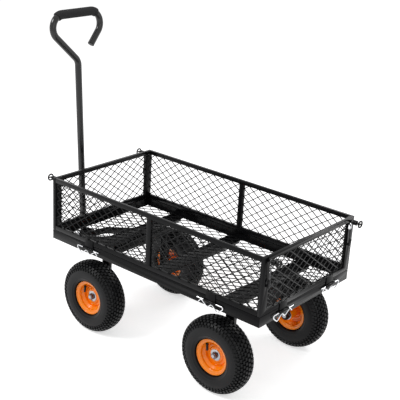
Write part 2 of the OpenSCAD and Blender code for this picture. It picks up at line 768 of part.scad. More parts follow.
seat_r = seat_d / 2;
barrel_r = seat_r - rim_t / 2;
well_r = barrel_r - 7.5;
lip_u = rim_w / 2;
hub_r = bearing_d / 2 + 2.5;
shoulder = [[barrel_r, 17], [well_r, 8]];
valve_at = (shoulder[0] + shoulder[1]) / 2;
valve_lean = atan2(shoulder[0][1] - shoulder[1][1], barrel_r - well_r);
valve_d = 8;
valve_l = 28;

// valve's place on the rim's shoulder, with +Z along its stem
module at_valve() rotate([0, 0, -valve_turn]) translate([0, valve_at[0], valve_at[1]])
  rotate([valve_lean, 0, 0]) children();

module rim(sx, sy) color(ORANGE) at_wheel(sx, sy) difference() {
  union() {
    rotate_extrude($fn = 96) union() {
      polygon(band([[seat_r + flange_h - 2, lip_u - 1], [seat_r + 2, lip_u - 3], [barrel_r, lip_u - 5],
        shoulder[0], shoulder[1], [well_r, -shoulder[1][1]], [barrel_r, -shoulder[0][1]],
        [barrel_r, 5 - lip_u], [seat_r + 2, 3 - lip_u], [seat_r + flange_h - 2, 1 - lip_u]], rim_t));
      for (s = [-1, 1]) translate([seat_r + flange_h - 1.5, s * (lip_u - 1)]) circle(d = 4.4);
      polygon(band([[well_r, 1], [33, 2], [27, 5], [hub_r - 1, 6]], rim_t));
    }
    translate([0, 0, -hub_in]) cylinder(r = hub_r, h = hub_in + hub_out);
  }
  translate([0, 0, -hub_in - 1]) cylinder(d = bearing_d, h = hub_in + hub_out + 2);
  at_valve() cylinder(d = valve_d, h = 3 * rim_t, center = true);
}

// rubber valve: head inside the tyre, stem slanting out towards the hub
module valve(sx, sy) color(RUBBER) at_wheel(sx, sy) at_valve() {
  translate([0, 0, -rim_t / 2 - 5]) cylinder(d = valve_d + 2, h = 4.6);
  translate([0, 0, -rim_t / 2 - 1]) cylinder(d = valve_d, h = valve_l);
  translate([0, 0, rim_t / 2 + 0.8]) cylinder(d = valve_d + 2, h = 3);
}

module bearings(sx, sy) color(ZINC) at_wheel(sx, sy) for (s = [-1, 1])
  translate([0, 0, s > 0 ? hub_out : -hub_in]) rotate([s > 0 ? 0 : 180, 0, 0]) difference() {
    union() {
      translate([0, 0, -bearing_w]) cylinder(d = bearing_d, h = bearing_w);
      cylinder(d = bearing_d + 4, h = bearing_lip);
    }
    translate([0, 0, -bearing_w - 1]) cylinder(d = axle_d + 2 * running_gap, h = bearing_w + 5);
  }

function flip(p) = [p[0], -p[1]];

// point of the tyre's rounded section at angle a, for half width w and radii r0 to r1
function bulge(v) = sign(v) * pow(abs(v), 0.84);
function section(a, w, r0, r1) = [(r0 + r1) / 2 + (r1 - r0) / 2 * bulge(sin(a)), w * bulge(cos(a))];

// angles of the grooves between the rows of the tread, round the tyre's section
tread_grooves = [for (k = [0 : 7]) 44.5 + 13 * k];

module tyre(sx, sy) color(RUBBER) at_wheel(sx, sy) rotate_extrude($fn = 96) {
  heel = lip_u - 6.4;
  half = tyre_w / 2;
  crown = tyre_d / 2;
  foot = [[seat_r, heel], [seat_r + 2, heel + 1.6], [seat_r + flange_h - 4.6, heel + 2.6],
    [seat_r + flange_h + 2.5, heel + 2.8]];
  outer = [for (a = [-36 : 9 : 216]) section(a, half, seat_r, crown)];
  inner = [for (a = [225 : -9 : -45]) section(a, half - 6, seat_r + 6, crown - 9)];
  difference() {
    polygon(concat(foot, outer, [for (i = [3 : -1 : 0]) flip(foot[i])], [[seat_r, 8 - heel]],
      inner, [[seat_r, heel - 8]]));
    for (a = tread_grooves)
      let (p = section(a, half, seat_r, crown), q = section(a + 1, half, seat_r, crown) - p)
        translate(p) rotate(atan2(q[1], q[0])) square([groove_w, 2 * groove_t], center = true);
  }
}

module tyre_fl() tyre(-1, -1);
module tyre_fr() tyre(-1, 1);
module tyre_rl() tyre(1, -1);
module tyre_rr() tyre(1, 1);

module rim_fl() rim(-1, -1);
module rim_fr() rim(-1, 1);
module rim_rl() rim(1, -1);
module rim_rr() rim(1, 1);

module valve_fl() valve(-1, -1);
module valve_fr() valve(-1, 1);
module valve_rl() valve(1, -1);
module valve_rr() valve(1, 1);

module bearings_fl() bearings(-1, -1);
module bearings_fr() bearings(-1, 1);
module bearings_rl() bearings(1, -1);
module bearings_rr() bearings(1, 1);

bed_frame();
floor_mesh();
cross_members();
spring_clips();
rear_axle_frame();
rear_axles();
rear_axle_nuts();
turntable_plate();
thrust_washer();
kingpin();
kingpin_nut();
steering_plate();
front_axle_frame();
front_axles();
front_axle_nuts();
tongue();
tongue_bolt();
tongue_nut();
handle_tube();
handle_grip();
handle_plug();
left_side_frame();
right_side_frame();
front_side_frame();
rear_side_frame();
left_keepers();
right_keepers();
left_side_mesh();
right_side_mesh();
front_side_mesh();
rear_side_mesh();
front_dome_bolt();
rear_dome_bolt();
latch_pin_fl();
latch_pin_fr();
latch_pin_rl();
latch_pin_rr();
lanyard_fl();
lanyard_fr();
lanyard_rl();
lanyard_rr();
tyre_fl();
tyre_fr();
tyre_rl();
tyre_rr();
rim_fl();
rim_fr();
rim_rl();
rim_rr();
valve_fl();
valve_fr();
valve_rl();
valve_rr();
bearings_fl();
bearings_fr();
bearings_rl();
bearings_rr();
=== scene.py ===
"""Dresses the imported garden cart: smooth round parts, rounded frames, twisted expanded mesh,
studded tyres and their finishes. Metres, in the cart's own frame: +X is the tail, +Z is up."""
import json
import math
import bmesh
import bpy
from mathutils import Matrix, Vector


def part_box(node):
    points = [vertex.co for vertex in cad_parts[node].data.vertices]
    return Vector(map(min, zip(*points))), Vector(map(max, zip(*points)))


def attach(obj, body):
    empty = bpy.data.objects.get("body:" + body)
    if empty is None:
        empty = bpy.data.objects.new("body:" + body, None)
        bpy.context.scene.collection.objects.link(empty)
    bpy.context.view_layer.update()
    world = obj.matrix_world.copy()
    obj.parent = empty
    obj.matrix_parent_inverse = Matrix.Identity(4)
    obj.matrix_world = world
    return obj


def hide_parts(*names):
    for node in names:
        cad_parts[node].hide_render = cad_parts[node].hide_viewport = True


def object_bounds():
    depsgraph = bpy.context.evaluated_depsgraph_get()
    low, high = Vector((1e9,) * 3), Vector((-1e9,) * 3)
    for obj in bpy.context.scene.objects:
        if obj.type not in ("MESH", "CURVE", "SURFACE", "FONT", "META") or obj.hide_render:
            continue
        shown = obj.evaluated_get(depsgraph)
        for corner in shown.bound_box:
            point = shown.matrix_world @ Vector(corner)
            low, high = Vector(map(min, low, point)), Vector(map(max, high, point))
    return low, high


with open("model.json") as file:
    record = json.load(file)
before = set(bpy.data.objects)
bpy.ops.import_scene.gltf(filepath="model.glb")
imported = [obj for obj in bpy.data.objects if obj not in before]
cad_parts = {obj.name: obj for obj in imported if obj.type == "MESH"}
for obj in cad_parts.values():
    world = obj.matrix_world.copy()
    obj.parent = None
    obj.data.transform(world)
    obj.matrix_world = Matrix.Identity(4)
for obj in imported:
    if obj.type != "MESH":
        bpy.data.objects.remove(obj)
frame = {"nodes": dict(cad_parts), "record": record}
cad_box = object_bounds()
JOINTS = {j["name"]: j for j in frame["record"]["behaviour"]["joints"]}
MM = 0.001
MERGE = 1e-6             # points closer than this are one point
STRAIGHT = 0.02          # radians: a bend under this gets no arc
MOST_OF_LEG = 0.48       # the share of a leg that an arc may take
COAT_ROUGHNESS = 0.12
WANDER_SCALE = 14        # size of the slow wander in roughness and shade
CORNERS = {"fl": (-1, -1), "fr": (-1, 1), "rl": (1, -1), "rr": (1, 1)}


# ---------------------------------------------------------------- finishes

def finish(name, colour, roughness, metallic=0.0, coat=0.0, grain=900.0, depth=0.00002,
           spread=0.06, shade=0.12, gloss=0.5):
    """A surface with a fine grain: bump, and a slow wander in roughness and shade."""
    m = bpy.data.materials.new(name)
    m.use_nodes = True
    m.diffuse_color = (*colour, 1)
    nodes, links = m.node_tree.nodes, m.node_tree.links
    shader = nodes["Principled BSDF"]
    shader.inputs["Metallic"].default_value = metallic
    shader.inputs["Coat Weight"].default_value = coat
    shader.inputs["Coat Roughness"].default_value = COAT_ROUGHNESS
    shader.inputs["Specular IOR Level"].default_value = gloss
    place = nodes.new("ShaderNodeTexCoord")
    fine = nodes.new("ShaderNodeTexNoise")
    fine.inputs["Scale"].default_value = grain
    fine.inputs["Detail"].default_value = 3
    slow = nodes.new("ShaderNodeTexNoise")
    slow.inputs["Scale"].default_value = WANDER_SCALE
    slow.inputs["Detail"].default_value = 4
    for texture in (fine, slow):
        links.new(place.outputs["Object"], texture.inputs["Vector"])
    bump = nodes.new("ShaderNodeBump")
    bump.inputs["Strength"].default_value = 1.0
    bump.inputs["Distance"].default_value = depth
    links.new(fine.outputs["Fac"], bump.inputs["Height"])
    links.new(bump.outputs["Normal"], shader.inputs["Normal"])
    rough = nodes.new("ShaderNodeMapRange")
    rough.inputs["To Min"].default_value = max(0.02, roughness - spread)
    rough.inputs["To Max"].default_value = min(1.0, roughness + spread)
    links.new(slow.outputs["Fac"], rough.inputs["Value"])
    links.new(rough.outputs["Result"], shader.inputs["Roughness"])
    tone = nodes.new("ShaderNodeMix")
    tone.data_type = "RGBA"
    tone.inputs["A"].default_value = (*[c * (1 - shade) for c in colour], 1)
    tone.inputs["B"].default_value = (*[min(1.0, c * (1 + shade)) for c in colour], 1)
    links.new(slow.outputs["Fac"], tone.inputs["Factor"])
    links.new(tone.outputs["Result"], shader.inputs["Base Color"])
    return m


powder_black = finish("powder_black", (0.0040, 0.0040, 0.0046), 0.22, grain=700, depth=0.000015,
                      gloss=0.11)
mesh_black = finish("mesh_black", (0.0055, 0.0055, 0.006), 0.34, grain=900, depth=0.00002,
                    gloss=0.12)
handle_black = finish("handle_black", (0.004, 0.004, 0.0045), 0.13, grain=300, depth=0.000006,
                      gloss=0.5)
pin_black = finish("pin_black", (0.004, 0.004, 0.0045), 0.28, grain=500, gloss=0.15)
bright_zinc = finish("bright_zinc", (0.78, 0.79, 0.81), 0.20, metallic=1.0, grain=1500,
                     depth=0.00001)
dull_zinc = finish("dull_zinc", (0.42, 0.42, 0.44), 0.34, metallic=1.0, grain=900,
                   depth=0.00002)
chrome_hub = finish("chrome_hub", (0.40, 0.41, 0.43), 0.16, metallic=1.0, grain=1200,
                    depth=0.00001)
dark_steel = finish("dark_steel", (0.16, 0.16, 0.17), 0.22, metallic=1.0, grain=900)
grip_foam = finish("grip_foam", (0.026, 0.026, 0.027), 0.93, grain=1100, depth=0.00025, spread=0.04,
                   gloss=0.25)
black_plastic = finish("black_plastic", (0.010, 0.010, 0.011), 0.45, grain=1200, gloss=0.25)
grey_cord = finish("grey_cord", (0.13, 0.13, 0.135), 0.40, grain=1500, depth=0.00004)
rim_orange = finish("rim_orange", (0.98, 0.250, 0.001), 0.24, coat=0.35, grain=350, depth=0.00002,
                    shade=0.04, gloss=0.3)
tyre_rubber = finish("tyre_rubber", (0.0055, 0.0057, 0.0064), 0.34, grain=1400, depth=0.00004,
                     spread=0.10, shade=0.25, gloss=0.19)
valve_rubber = finish("valve_rubber", (0.007, 0.007, 0.0075), 0.5, grain=1200, gloss=0.3)


# ---------------------------------------------------------------- shapes

def new_piece(name, mesh, material, body, replaced=(), smooth=35):
    """Turns a mesh into a finished piece that rides on a body and stands for CAD nodes."""
    mesh.materials.clear()
    mesh.materials.append(material)
    mesh.polygons.foreach_set("material_index", [0] * len(mesh.polygons))
    mesh.polygons.foreach_set("use_smooth", [True] * len(mesh.polygons))
    mesh.set_sharp_from_angle(angle=math.radians(smooth))
    piece = bpy.data.objects.new(name, mesh)
    bpy.context.scene.collection.objects.link(piece)
    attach(piece, body)
    if replaced:
        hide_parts(*replaced)
    return piece


def mesh_of(name, parts):
    """One mesh from several (points, faces) parts."""
    points, faces = [], []
    for part_points, part_faces in parts:
        faces += [[i + len(points) for i in f] for f in part_faces]
        points += part_points
    mesh = bpy.data.meshes.new(name)
    mesh.from_pydata([tuple(p) for p in points], [], faces)
    mesh.update()
    return outward(mesh)


def outward(mesh):
    """Merges doubles and turns every face outwards."""
    b = bmesh.new()
    b.from_mesh(mesh)
    bmesh.ops.remove_doubles(b, verts=b.verts, dist=MERGE)
    bmesh.ops.recalc_face_normals(b, faces=b.faces)
    b.to_mesh(mesh)
    b.free()
    return mesh


def frame_along(direction):
    """Rotation that takes +Z to a direction."""
    return Vector((0, 0, 1)).rotation_difference(Vector(direction)).to_matrix()


def rounded(points, radius, steps=5):
    """A polyline with an arc at each inner corner."""
    points = [Vector(p) for p in points]
    out = [points[0]]
    for before, corner, after in zip(points, points[1:], points[2:]):
        a, b = (before - corner), (after - corner)
        bend = math.pi - a.angle(b)
        if bend < STRAIGHT:
            out.append(corner)
            continue
        cut = min(radius * math.tan(bend / 2), a.length * MOST_OF_LEG, b.length * MOST_OF_LEG)
        start, end = corner + a.normalized() * cut, corner + b.normalized() * cut
        for k in range(steps + 1):
            t = k / steps
            out.append((1 - t) ** 2 * start + 2 * t * (1 - t) * corner + t ** 2 * end)
    return out + [points[-1]]


def tube(points, radius, sides=16, closed=False):
    """Round bar along a path, with closed ends. radius is a number or one for each point."""
    points = [Vector(p) for p in points]
    n = len(points)
    radii = radius if isinstance(radius, list) else [radius] * n
    tangents = []
    for i in range(n):
        a = points[i - 1] if (i or closed) else points[i]
        b = points[(i + 1) % n] if (i < n - 1 or closed) else points[i]
        tangents.append((b - a).normalized())
    side = tangents[0].orthogonal().normalized()
    verts = []
    for i in range(n):
        if i:
            side = (side - side.dot(tangents[i]) * tangents[i]).normalized()
        up = tangents[i].cross(side)
        for k in range(sides):
            a = 2 * math.pi * k / sides
            verts.append(points[i] + radii[i] * (math.cos(a) * side + math.sin(a) * up))
    faces = [[i * sides + k, i * sides + (k + 1) % sides,
              ((i + 1) % n) * sides + (k + 1) % sides, ((i + 1) % n) * sides + k]
             for i in range(n if closed else n - 1) for k in range(sides)]
    if not closed:
        faces += [list(range(sides))[::-1], [(n - 1) * sides + k for k in range(sides)]]
    return verts, faces


def lathe(profile, centre, direction, sides=48, closed=False):
    """Turned part: profile is (distance along the axis, radius) pairs, ends on the axis."""
    turn, centre = frame_along(direction), Vector(centre)
    verts = [centre + turn @ Vector((r * math.cos(2 * math.pi * k / sides),
                                     r * math.sin(2 * math.pi * k / sides), u))
             for u, r in profile for k in range(sides)]
    n = len(profile)
    rings = [(i, (i + 1) % n) for i in range(n if closed else n - 1)]
    faces = [[a * sides + k, a * sides + (k + 1) % sides, b * sides + (k + 1) % sides, b * sides + k]
             for a, b in rings for k in range(sides)]
    if not closed:
        for i, ring in ((0, range(sides - 1, -1, -1)), (n - 1, range(sides))):
            if profile[i][1] > MERGE:
                faces.append([i * sides + k for k in ring])
    return verts, faces


def soft_profile(profile, radius, steps=3):
    """A lathe profile with rounded corners."""
    return [(p.x, p.y) for p in rounded([(u, r, 0) for u, r in profile], radius, steps)]


def area_of(mesh):
    """Surface area, from the mesh's triangles."""
    mesh.calc_loop_triangles()
    return sum(t.area for t in mesh.loop_triangles)


FLAT_ANGLE = math.radians(0.5)      # faces that differ by less are one flat
EDGE_ANGLE = math.radians(40)       # edges sharper than this are rounded
AREA_GAIN = 1.05                    # more area than this share means that a hole was filled


def softened(node, body, width, material, smooth=40):
    """A copy of the CAD node with its edges rounded off.

    Flats are merged first, unless that fills a hole.
    """
    source = frame["nodes"][node].data
    for merge_flats in (True, False):
        mesh = source.copy()
        b = bmesh.new()
        b.from_mesh(mesh)
        bmesh.ops.remove_doubles(b, verts=b.verts, dist=2 * MERGE)
        if merge_flats:
            bmesh.ops.dissolve_limit(b, angle_limit=FLAT_ANGLE, verts=b.verts, edges=b.edges)
        b.to_mesh(mesh)
        b.free()
        scratch = bpy.data.objects.new("scratch", mesh)
        bpy.context.scene.collection.objects.link(scratch)
        bevel = scratch.modifiers.new("round", "BEVEL")
        bevel.width, bevel.segments = width, 2
        bevel.limit_method, bevel.angle_limit = "ANGLE", EDGE_ANGLE
        bevel.miter_outer = "MITER_ARC"
        done = baked(scratch, node + "_soft")
        if area_of(done) < AREA_GAIN * area_of(source):
            break
    return new_piece(node + "_soft", done, material, body, [node], smooth)


def baked(scratch, name):
    """The evaluated object as a plain mesh; the object itself goes."""
    graph = bpy.context.evaluated_depsgraph_get()
    mesh = bpy.data.meshes.new_from_object(scratch.evaluated_get(graph))
    mesh.name = name
    bpy.data.objects.remove(scratch)
    return mesh


# ---------------------------------------------------------------- node trees

class Recipe:
    """A Geometry Nodes tree with named inputs."""

    def __init__(self, name, **inputs):
        self.tree = bpy.data.node_groups.new(name, "GeometryNodeTree")
        self.sockets = {}
        for label, (kind, value) in inputs.items():
            socket = self.tree.interface.new_socket(label, in_out="INPUT",
                                                    socket_type="NodeSocket" + kind)
            if value is not None:
                socket.default_value = value
            self.sockets[label] = socket.identifier
        self.tree.interface.new_socket("Geometry", in_out="OUTPUT", socket_type="NodeSocketGeometry")
        self.given = self.tree.nodes.new("NodeGroupInput")
        self.result = self.tree.nodes.new("NodeGroupOutput")

    def put(self, kind, settings=None, **wires):
        """Adds a node. A wire is a socket to link, or a value; _ stands for a space."""
        node = self.tree.nodes.new(kind)
        for key, value in (settings or {}).items():
            setattr(node, key, value)
        for key, value in wires.items():
            label = int(key[1:]) if key[1:].isdigit() else key.replace("_", " ")
            socket = node.inputs[label]
            if isinstance(value, bpy.types.NodeSocket):
                self.tree.links.new(value, socket)
            else:
                socket.default_value = value
        return node

    def math(self, operation, a, b=0.0):
        return self.put("ShaderNodeMath", {"operation": operation}, i0=a, i1=b).outputs[0]

    def end(self, geometry, material):
        real = self.put("GeometryNodeRealizeInstances", Geometry=geometry)
        dressed = self.put("GeometryNodeSetMaterial", Geometry=real.outputs[0], Material=material)
        self.tree.links.new(dressed.outputs[0], self.result.inputs[0])

    def cook(self, name, **values):
        """Runs the tree with these inputs and gives the mesh."""
        scratch = bpy.data.objects.new("scratch", bpy.data.meshes.new("scratch"))
        bpy.context.scene.collection.objects.link(scratch)
        modifier = scratch.modifiers.new("recipe", "NODES")
        modifier.node_group = self.tree
        for label, value in values.items():
            modifier[self.sockets[label]] = value
        return baked(scratch, name)


MULLION = 20 * MM        # width of the upright between the two bays of a long side
LONG_SIDE = 0.6          # a side longer than this has two bays
SHEET = 1.9 * MM         # thickness of the expanded sheet
SIDE_DIAMOND = (42.7 * MM, 29.4 * MM)
FLOOR_DIAMOND = (50 * MM, 33 * MM)


def strand_recipe():
    """Expanded mesh: rows of zigzag strands, each tilted against the sheet, joined at knuckles."""
    r = Recipe("expanded_mesh", cells=("Int", 10), rows=("Int", 8), half_pitch=("Float", 0.02),
               row_height=("Float", 0.015), strand=("Float", 0.0024), sheet=("Float", 0.002),
               tilt=("Float", 0.6), finish=("Material", None))
    g = {s.name: s for s in r.given.outputs if s.name}
    points = r.put("GeometryNodeMeshLine", Count=r.math("ADD", g["cells"], 1.0),
                   Offset=r.put("ShaderNodeCombineXYZ", X=g["half_pitch"]).outputs[0])
    index = r.put("GeometryNodeInputIndex").outputs[0]
    odd = r.math("MODULO", index, 2.0)
    swing = r.math("MULTIPLY", r.math("SUBTRACT", odd, 0.5), g["row_height"])
    zigzag = r.put("GeometryNodeSetPosition", Geometry=points.outputs[0],
                   Offset=r.put("ShaderNodeCombineXYZ", Y=swing).outputs[0])
    line = r.put("GeometryNodeMeshToCurve", Mesh=zigzag.outputs[0])
    flat = r.put("GeometryNodeSetCurveNormal", {"mode": "Z_UP"}, Curve=line.outputs[0])
    turned = r.put("GeometryNodeSetCurveTilt", Curve=flat.outputs[0], Tilt=g["tilt"])
    section = r.put("GeometryNodeCurvePrimitiveQuadrilateral", Width=g["strand"], Height=g["sheet"])
    strand = r.put("GeometryNodeCurveToMesh", Curve=turned.outputs[0], Profile_Curve=section.outputs[0])
    places = r.put("GeometryNodeMeshLine", Count=g["rows"],
                   Offset=r.put("ShaderNodeCombineXYZ", Y=g["row_height"]).outputs[0])
    flip = r.put("ShaderNodeCombineXYZ", X=r.math("MULTIPLY", odd, math.pi)).outputs[0]
    sheet = r.put("GeometryNodeInstanceOnPoints", Points=places.outputs[0], Instance=strand.outputs[0],
                  Rotation=flip)
    r.end(sheet.outputs[0], g["finish"])
    return r


def expanded_mesh(recipe, name, node, body, across, pitch, material, strand=3.7 * MM, tilt=0.12):
    """Fills the windows of a CAD mesh node. across is the axis of the diamonds' long way."""
    low, high = (Vector(v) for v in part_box(node))
    axis = "XYZ".index(across)
    rise = 2 if node != "floor_mesh" else 1
    thin = 3 - axis - rise
    bays = [(low[axis], high[axis])]
    if high[axis] - low[axis] > LONG_SIDE and rise == 2:
        post = (low[axis] + high[axis]) / 2
        bays = [(low[axis], post - MULLION / 2), (post + MULLION / 2, high[axis])]
    parts = []
    for start, stop in bays:
        cells = round((stop - start) / (pitch[0] / 2))
        rows = round((high[rise] - low[rise]) / (pitch[1] / 2))
        row_height = (high[rise] - low[rise]) / rows
        mesh = recipe.cook(name, cells=cells, rows=rows, half_pitch=(stop - start) / cells,
                           row_height=row_height, strand=strand, sheet=SHEET, tilt=tilt,
                           finish=material)
        place = Matrix.Identity(4)
        place.col[0][axis], place.col[0][0] = 1.0, float(axis == 0)
        place.col[1][:3] = [float(i == rise) for i in range(3)]
        place.col[2][:3] = place.col[0].to_3d().cross(place.col[1].to_3d())
        corner = Vector((0, 0, 0))
        corner[axis], corner[rise] = start, low[rise] + row_height / 2
        corner[thin] = (low[thin] + high[thin]) / 2
        place.translation = corner
        mesh.transform(place)
        parts.append(([v.co.copy() for v in mesh.vertices], [list(p.vertices) for p in mesh.polygons]))
    new_piece(name, mesh_of(name, parts), material, body, [node], 25)


# ---------------------------------------------------------------- mesh floor and sides

expanded = strand_recipe()
expanded_mesh(expanded, "floor_strands", "floor_mesh", "bed", "X", FLOOR_DIAMOND, mesh_black,
              strand=2.6 * MM, tilt=0.5)
for side, along in (("left", "X"), ("right", "X"), ("front", "Y"), ("rear", "Y")):
    expanded_mesh(expanded, side + "_strands", side + "_side_mesh", side + "_side", along,
                  SIDE_DIAMOND, mesh_black)

# ---------------------------------------------------------------- frames and plain parts

FRAME_EDGE, SMALL_EDGE, VALVE_EDGE = 1.1 * MM, 0.4 * MM, 0.6 * MM

for node, body in (("bed_frame", "bed"), ("cross_members", "bed"), ("rear_axle_frame", "bed"),
                   ("turntable_plate", "bed"), ("front_axle_frame", "front_truck"),
                   ("steering_plate", "front_truck"), ("tongue", "front_truck"),
                   ("left_side_frame", "left_side"), ("right_side_frame", "right_side"),
                   ("left_keepers", "left_side"), ("right_keepers", "right_side"),
                   ("front_side_frame", "front_side"), ("rear_side_frame", "rear_side")):
    softened(node, body, FRAME_EDGE, powder_black)

for node, body, material in (
        ("thrust_washer", "bed", dull_zinc), ("kingpin", "bed", dull_zinc),
        ("kingpin_nut", "bed", bright_zinc), ("rear_axles", "bed", dull_zinc),
        ("rear_axle_nuts", "bed", dark_steel), ("front_axles", "front_truck", dull_zinc),
        ("front_axle_nuts", "front_truck", dark_steel), ("tongue_bolt", "front_truck", bright_zinc),
        ("tongue_nut", "front_truck", bright_zinc), ("front_dome_bolt", "front_side", bright_zinc),
        ("rear_dome_bolt", "rear_side", bright_zinc)):
    softened(node, body, SMALL_EDGE, material)


# ---------------------------------------------------------------- wheels

WELL = 42.1 * MM        # radius of the rim's well
BARREL = 49.6 * MM      # radius of the rim's barrel, middle of the steel
FLANGE = 60.3 * MM      # radius of the rim's flange, at the lip
LIP = 29.0 * MM         # half width of the rim
RIM_T = 2.4 * MM
TREAD = 2.6 * MM        # height of the tread blocks
SEAT = 50.8 * MM        # radius of the rim's bead seat
TYRE_WALL = 6.4 * MM
BEAD_W = 8 * MM
CURL = 2.2 * MM         # radius of the rim's rolled edge
SIDE_POWER, CROWN_POWER = 0.80, 0.86      # squareness of the tyre's section
MOULDED_RINGS = ((75 * MM, 0.8 * MM), (104 * MM, 0.5 * MM))      # radius, height
RING_HALF = 1.5 * MM
BLOCKS, BLOCK_L = 52, 11.6 * MM           # blocks in a row, and their length


def shell(path, thickness):
    """Closed lathe profile of a sheet that follows a path of (along, radius) points."""
    left, right = [], []
    for i, p in enumerate(path):
        a, b = path[max(i - 1, 0)], path[min(i + 1, len(path) - 1)]
        t = Vector((b[0] - a[0], b[1] - a[1])).normalized()
        n = Vector((-t.y, t.x)) * thickness / 2
        left.append((p[0] + n.x, p[1] + n.y))
        right.append((p[0] - n.x, p[1] - n.y))
    return left + right[::-1]


def circle_profile(u, r, radius, steps=10):
    """Closed lathe profile of a round bead."""
    return [(u + radius * math.cos(2 * math.pi * k / steps),
             r + radius * math.sin(2 * math.pi * k / steps)) for k in range(steps)]


def wheel_parts(centre, out):
    """Points and faces of the rim: barrel with rolled lips, dished disc with a step, hub tube."""
    half = [(LIP - 0.8 * MM, FLANGE), (LIP - 2.4 * MM, BARREL + 4 * MM), (LIP - 5 * MM, BARREL),
            (17 * MM, BARREL), (8 * MM, WELL)]
    barrel = half + [(-u, r) for u, r in half[::-1]]
    disc = [(0, WELL - 1 * MM), (0.5 * MM, 38 * MM), (2.5 * MM, 35.5 * MM), (3 * MM, 29 * MM),
            (6.5 * MM, 24.5 * MM), (7 * MM, 19.5 * MM)]
    parts = [lathe(shell(soft_profile(barrel, 3.5 * MM, 4), RIM_T), centre, out, 96, True),
             lathe(shell(soft_profile(disc, 3 * MM, 4), RIM_T), centre, out, 72, True)]
    for s in (-1, 1):
        parts.append(lathe(circle_profile(s * LIP, FLANGE, CURL), centre, out, 96, True))
    tube_wall = [(-44 * MM, 17.6 * MM), (8 * MM, 17.6 * MM), (8 * MM, 20 * MM), (-44 * MM, 20 * MM)]
    parts.append(lathe(tube_wall, centre, out, 48, True))
    return parts


def bulge(v, power):
    """A power that keeps the sign: under 1 it squares a circle's sine or cosine."""
    return math.copysign(abs(v) ** power, v)


def section(radius, half_width, angle, inset=0.0):
    """Point of the tyre's section: place across the tyre and radius, at an angle from the side."""
    crown, seat, a = radius - TREAD, SEAT, math.radians(angle)
    return ((half_width - 0.6 * MM - inset) * bulge(math.cos(a), SIDE_POWER),
            (crown + seat) / 2 + ((crown - seat) / 2 - inset) * bulge(math.sin(a), CROWN_POWER))


def carcass(radius, half_width):
    """Tyre without its blocks: rounded section with moulded rings, standing on the rim's seats."""
    seat, bead = SEAT, LIP - 3.8 * MM
    foot = [(bead, seat), (bead, seat + 10 * MM), (LIP - 1.2 * MM, seat + 13.6 * MM)]
    outer = []
    for step in range(-34, 215, 3):
        u, r = section(radius, half_width, step)
        for ring, lift in MOULDED_RINGS:
            if abs(r - ring) < RING_HALF:
                u += math.copysign(lift, u)
        outer.append((u, r))
    inner = [section(radius, half_width, a, TYRE_WALL) for a in range(222, -43, -12)]
    return foot + outer + [(-u, r) for u, r in foot[::-1]] + [(BEAD_W - bead, seat)] + inner + [
        (bead - BEAD_W, seat)]


def tread_recipe(radius, half_width):
    """Rows of low tapered blocks round the tyre, each row turned half a block against the next."""
    r = Recipe("tread", blocks=("Int", 40), length=("Float", 0.009), height=("Float", TREAD),
               finish=("Material", None))
    g = {s.name: s for s in r.given.outputs if s.name}
    # angle round the section, width of the row in mm, its share of the blocks' length and height
    rows = [(90.0, 10.5, 1.0, 1.0), (77.6, 8.6, 0.92, 1.0), (64.6, 7.4, 0.92, 1.0),
            (51.6, 7.2, 0.9, 1.0), (38.0, 8.0, 0.8, 0.85), (24.5, 7.4, 0.34, 0.55)]
    joined = r.put("GeometryNodeJoinGeometry")
    for number, (angle, width, share, lift) in enumerate(rows):
        u, up = section(radius, half_width, angle)
        ahead, behind = (section(radius, half_width, angle + d) for d in (-1, 1))
        tilt = math.atan2(behind[1] - ahead[1], ahead[0] - behind[0])
        block = r.put("GeometryNodeMeshCone", {"fill_type": "NGON"}, Vertices=4, Side_Segments=1,
                      Radius_Top=0.60, Radius_Bottom=0.74, Depth=1.0)
        square = r.put("GeometryNodeTransform", Geometry=block.outputs[0], Rotation=(0, 0, math.pi / 4))
        size = r.put("ShaderNodeCombineXYZ", X=width * MM, Y=r.math("MULTIPLY", g["length"], share),
                     Z=r.math("MULTIPLY", g["height"], 2.0 * lift))
        sized = r.put("GeometryNodeTransform", Geometry=square.outputs[0], Scale=size.outputs[0])
        for s in ((1, -1) if angle < 90 else (1,)):
            leaning = r.put("GeometryNodeTransform", Geometry=sized.outputs[0],
                            Rotation=(0, math.pi / 2 - s * tilt, 0))
            ring = r.put("GeometryNodeMeshCircle", Vertices=g["blocks"], Radius=up)
            turn = r.math("DIVIDE", math.pi * (number % 2), g["blocks"])
            spun = r.put("GeometryNodeTransform", Geometry=ring.outputs[0], Translation=(0, 0, s * u),
                         Rotation=r.put("ShaderNodeCombineXYZ", Z=turn).outputs[0])
            spot = r.put("GeometryNodeInputPosition").outputs[0]
            flat = r.put("ShaderNodeVectorMath", {"operation": "MULTIPLY"}, i0=spot,
                         i1=(1, 1, 0)).outputs[0]
            facing = r.put("FunctionNodeAlignRotationToVector", {"axis": "X", "pivot_axis": "Z"},
                           Vector=flat)
            blocks = r.put("GeometryNodeInstanceOnPoints", Points=spun.outputs[0],
                           Instance=leaning.outputs[0], Rotation=facing.outputs[0])
            r.tree.links.new(blocks.outputs[0], joined.inputs[0])
    r.end(joined.outputs[0], g["finish"])
    return r


